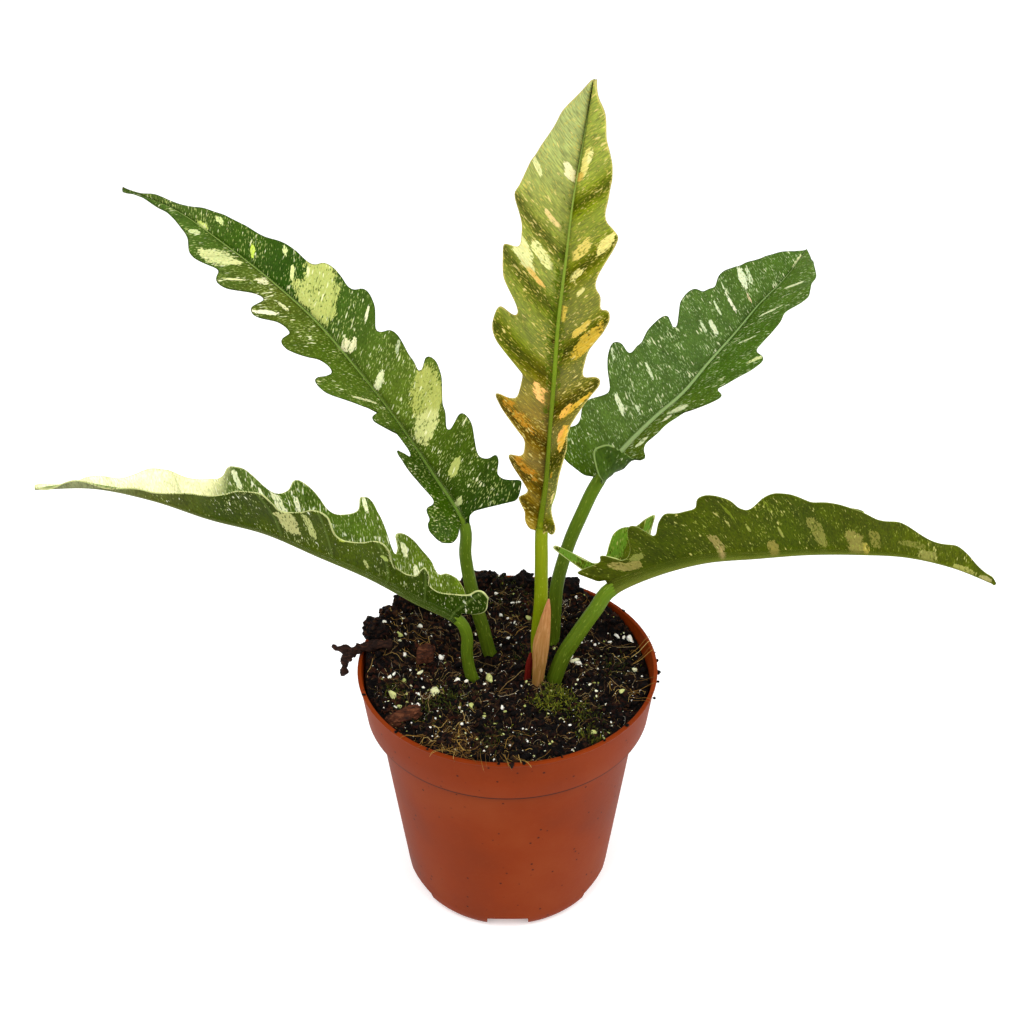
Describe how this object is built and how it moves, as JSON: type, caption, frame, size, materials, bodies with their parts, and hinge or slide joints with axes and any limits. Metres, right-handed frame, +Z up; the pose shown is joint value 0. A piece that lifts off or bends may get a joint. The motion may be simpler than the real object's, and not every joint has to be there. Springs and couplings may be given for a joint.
{
  "type": "potted ring of fire philodendron",
  "caption": "Young potted house plant with long, deeply lobed variegated leaves on round stalks, standing in a round collared nursery pot filled with peat.",
  "frame": {"origin": "centre of the pot's underside, on the surface that it stands on", "axes": "+Z up along the pot's axis, -Y to the front from which the leaves fan out to both sides, +X to the right as seen from the front"},
  "size_m": [0.3636, 0.187, 0.3423],
  "materials": {
    "pot_plastic": "terracotta coloured satin plastic",
    "peat": "moist dark peat with perlite, bark and fibres",
    "stem": "buried stem and roots, tan bark",
    "green_stalk": "smooth green leaf stalk",
    "lime_stalk": "smooth yellow green leaf stalk, grooved",
    "dark_leaf": "dark green leaf flecked and patched with cream",
    "olive_leaf": "olive leaf underside with grey cream patches",
    "young_leaf": "young leaf, pale green going to orange at its base",
    "dry_skin": "dry pinkish tan sheath",
    "red_skin": "dark red young sheath",
    "bark": "rough brown bark",
    "perlite": "white expanded grains on the peat",
    "moss": "green moss on the peat",
    "fibre": "tan root and straw fibres"
  },
  "bodies": {
    "root": {"pot": "pot_plastic", "soil": "peat", "crown": "stem", "stalk_upper_left": "green_stalk", "leaf_upper_left": "dark_leaf", "stalk_lower_left": "green_stalk", "leaf_lower_left": "olive_leaf", "stalk_middle": "lime_stalk", "leaf_middle": "young_leaf", "stalk_upper_right": "green_stalk", "leaf_upper_right": "dark_leaf", "stalk_lower_right": "green_stalk", "leaf_lower_right": "olive_leaf", "dry_sheath": "dry_skin", "red_sheath": "red_skin", "bark_chip_1": "bark", "bark_chip_2": "bark", "bark_chip_3": "bark", "rim_scrap": "bark"}
  },
  "joints": []
}
